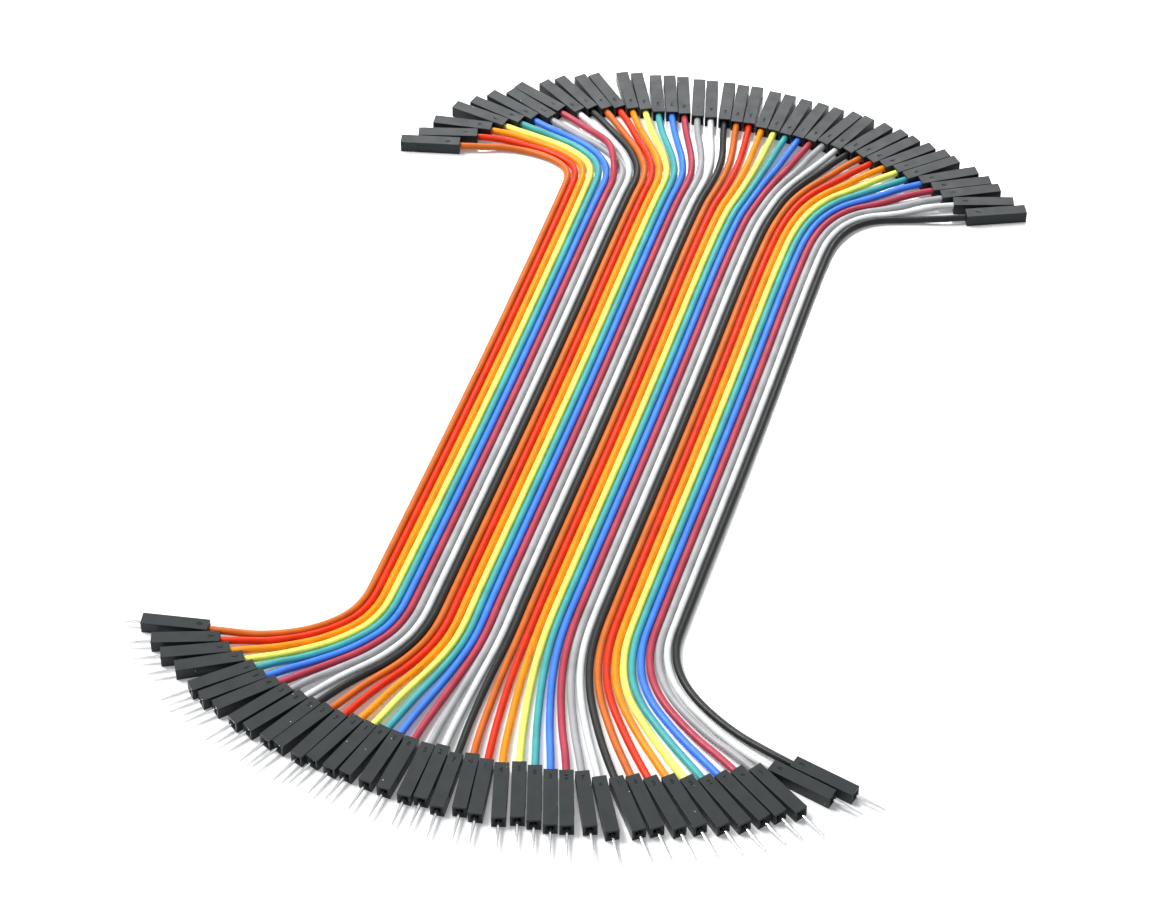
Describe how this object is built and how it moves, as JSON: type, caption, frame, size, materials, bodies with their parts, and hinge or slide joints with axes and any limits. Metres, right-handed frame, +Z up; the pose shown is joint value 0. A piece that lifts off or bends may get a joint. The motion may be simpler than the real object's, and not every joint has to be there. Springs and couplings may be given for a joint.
{
  "type": "ribbon of jumper wires",
  "caption": "Flat ribbon of bonded jumper wires that splits and fans out at both ends, with single socket housings at one end and square pins at the other",
  "frame": {"origin": "on the surface that the ribbon lies on, under the middle of its outline", "axes": "+X across the ribbon, from the first wire to the last; +Y along it, towards the socket ends; +Z up"},
  "size_m": [0.1753, 0.2117, 0.0031],
  "materials": {
    "insulation_brown": "brown soft extruded insulation with a satin sheen",
    "insulation_red": "red soft extruded insulation with a satin sheen",
    "insulation_orange": "orange soft extruded insulation with a satin sheen",
    "insulation_yellow": "yellow soft extruded insulation with a satin sheen",
    "insulation_green": "green soft extruded insulation with a satin sheen",
    "insulation_blue": "blue soft extruded insulation with a satin sheen",
    "insulation_crimson": "crimson soft extruded insulation with a satin sheen",
    "insulation_grey": "grey soft extruded insulation with a satin sheen",
    "insulation_white": "white soft extruded insulation with a satin sheen",
    "insulation_black": "black soft extruded insulation with a satin sheen",
    "housing_plastic": "black moulded plastic, satin",
    "contact_metal": "bright tin plated contact metal"
  },
  "bodies": {
    "root": {"wire_01_brown": "insulation_brown", "wire_02_red": "insulation_red", "wire_03_orange": "insulation_orange", "wire_04_yellow": "insulation_yellow", "wire_05_green": "insulation_green", "wire_06_blue": "insulation_blue", "wire_07_crimson": "insulation_crimson", "wire_08_grey": "insulation_grey", "wire_09_white": "insulation_white", "wire_10_black": "insulation_black", "wire_11_brown": "insulation_brown", "wire_12_red": "insulation_red", "wire_13_orange": "insulation_orange", "wire_14_yellow": "insulation_yellow", "wire_15_green": "insulation_green", "wire_16_blue": "insulation_blue", "wire_17_crimson": "insulation_crimson", "wire_18_grey": "insulation_grey", "wire_19_white": "insulation_white", "wire_20_black": "insulation_black", "wire_21_brown": "insulation_brown", "wire_22_red": "insulation_red", "wire_23_orange": "insulation_orange", "wire_24_yellow": "insulation_yellow", "wire_25_green": "insulation_green", "wire_26_blue": "insulation_blue", "wire_27_crimson": "insulation_crimson", "wire_28_grey": "insulation_grey", "wire_29_white": "insulation_white", "wire_30_black": "insulation_black", "wire_31_brown": "insulation_brown", "wire_32_red": "insulation_red", "wire_33_orange": "insulation_orange", "wire_34_yellow": "insulation_yellow", "wire_35_green": "insulation_green", "wire_36_blue": "insulation_blue", "wire_37_crimson": "insulation_crimson", "wire_38_grey": "insulation_grey", "wire_39_white": "insulation_white", "wire_40_black": "insulation_black", "socket_housings_bank_1": "housing_plastic", "pin_housings_bank_1": "housing_plastic", "socket_contacts_bank_1": "contact_metal", "pin_contacts_bank_1": "contact_metal", "socket_housings_bank_2": "housing_plastic", "pin_housings_bank_2": "housing_plastic", "socket_contacts_bank_2": "contact_metal", "pin_contacts_bank_2": "contact_metal", "socket_housings_bank_3": "housing_plastic", "pin_housings_bank_3": "housing_plastic", "socket_contacts_bank_3": "contact_metal", "pin_contacts_bank_3": "contact_metal", "socket_housings_bank_4": "housing_plastic", "pin_housings_bank_4": "housing_plastic", "socket_contacts_bank_4": "contact_metal", "pin_contacts_bank_4": "contact_metal"}
  },
  "joints": []
}
